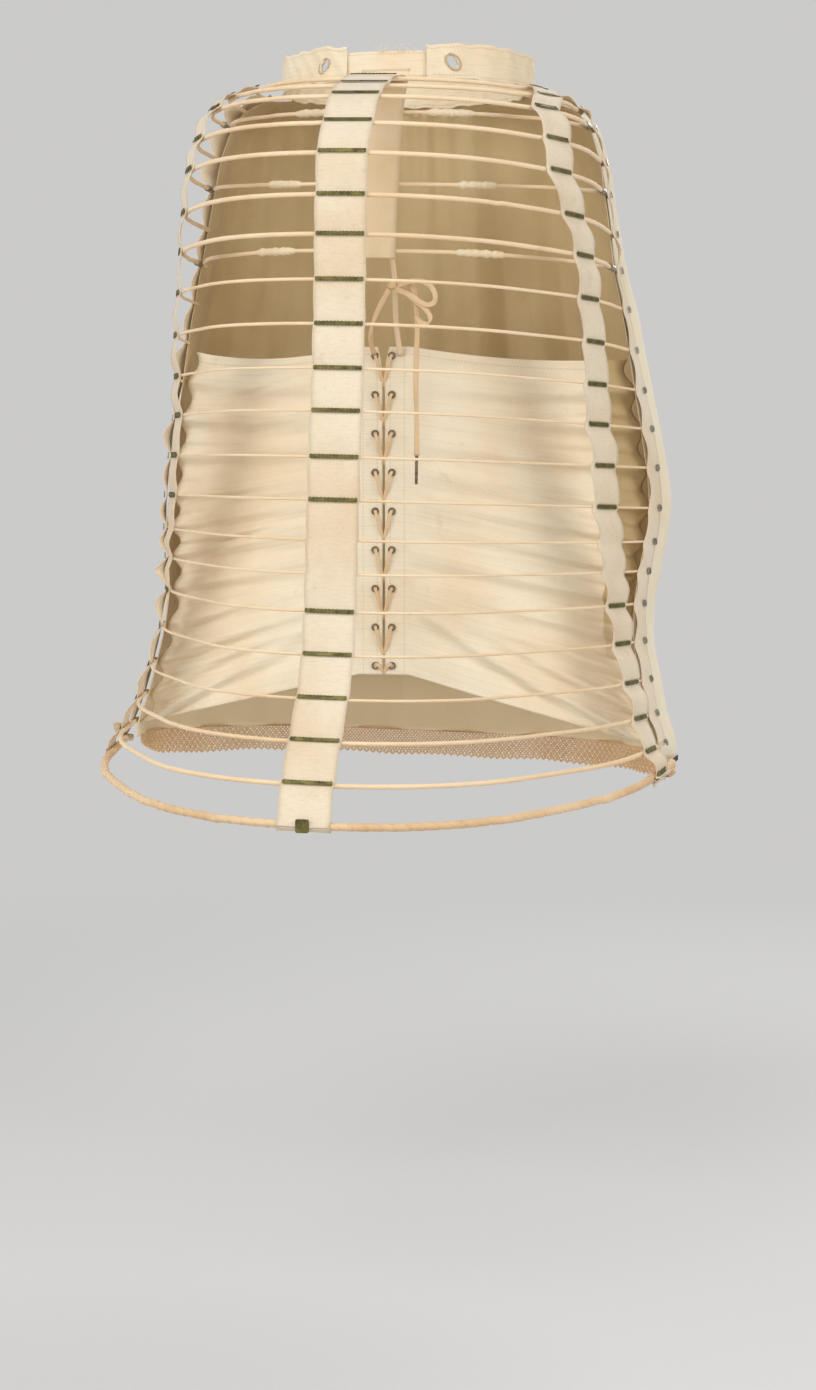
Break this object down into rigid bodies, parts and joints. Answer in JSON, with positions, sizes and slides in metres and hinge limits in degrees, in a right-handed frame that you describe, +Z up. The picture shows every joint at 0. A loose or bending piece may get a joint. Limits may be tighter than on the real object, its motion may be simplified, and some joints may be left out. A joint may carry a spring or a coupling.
{
  "type": "cage bustle",
  "caption": "Skirt support of covered wire hoops on cotton tapes, open at the back, with a front apron, a waistband and inner panels laced together.",
  "frame": {"origin": "centre of the waistband's opening, at half its height", "axes": "+Z up along the wearer, -Y to the wearer's back, +X to the wearer's right"},
  "size_m": [0.5199, 0.5426, 0.674],
  "materials": {
    "hoop_cover": "braided cotton over steel wire",
    "tape": "woven cotton tape",
    "waistband_cotton": "twilled cotton",
    "cotton": "plain woven cotton",
    "lace": "worked cotton openwork",
    "binding_thread": "wound cotton thread",
    "aged_brass": "dark, oxidised",
    "plated_metal": "dulled plating",
    "dark_metal": "dark, oxidised",
    "cord": "flat braided cotton"
  },
  "bodies": {
    "root": {"apron": "cotton", "back_clips": "aged_brass", "back_tape": "tape", "bow_knot": "cord", "bow_lead": "cord", "bow_loop": "cord", "bow_tail": "cord", "edge_rivets_left": "plated_metal", "edge_rivets_right": "plated_metal", "edge_tape_left": "tape", "edge_tape_right": "tape", "foot_clip": "aged_brass", "foot_collar": "dark_metal", "foot_steel": "dark_metal", "hanger_tape": "tape", "hem_lace": "lace", "hoop_01": "hoop_cover", "hoop_02": "hoop_cover", "hoop_03": "hoop_cover", "hoop_04": "hoop_cover", "hoop_05": "hoop_cover", "hoop_06": "hoop_cover", "hoop_07": "hoop_cover", "hoop_08": "hoop_cover", "hoop_09": "hoop_cover", "hoop_10": "hoop_cover", "hoop_11": "hoop_cover", "hoop_12": "hoop_cover", "hoop_13": "hoop_cover", "hoop_14": "hoop_cover", "hoop_15": "hoop_cover", "hoop_16": "hoop_cover", "hoop_17": "hoop_cover", "hoop_18": "hoop_cover", "hoop_19": "hoop_cover", "hoop_20": "hoop_cover", "hoop_21": "hoop_cover", "hoop_joins": "binding_thread", "hoop_sleeves": "plated_metal", "inner_hoop_1": "hoop_cover", "inner_hoop_2": "hoop_cover", "inner_hoop_3": "hoop_cover", "inner_tape": "tape", "lacing": "cord", "panel_eyelets_left": "dark_metal", "panel_eyelets_right": "dark_metal", "panel_left": "cotton", "panel_right": "cotton", "side_clips_left": "aged_brass", "side_clips_right": "aged_brass", "side_tape_left": "tape", "side_tape_right": "tape", "tail_tag": "dark_metal", "waistband": "waistband_cotton", "waistband_insert": "waistband_cotton"}
  },
  "joints": []
}
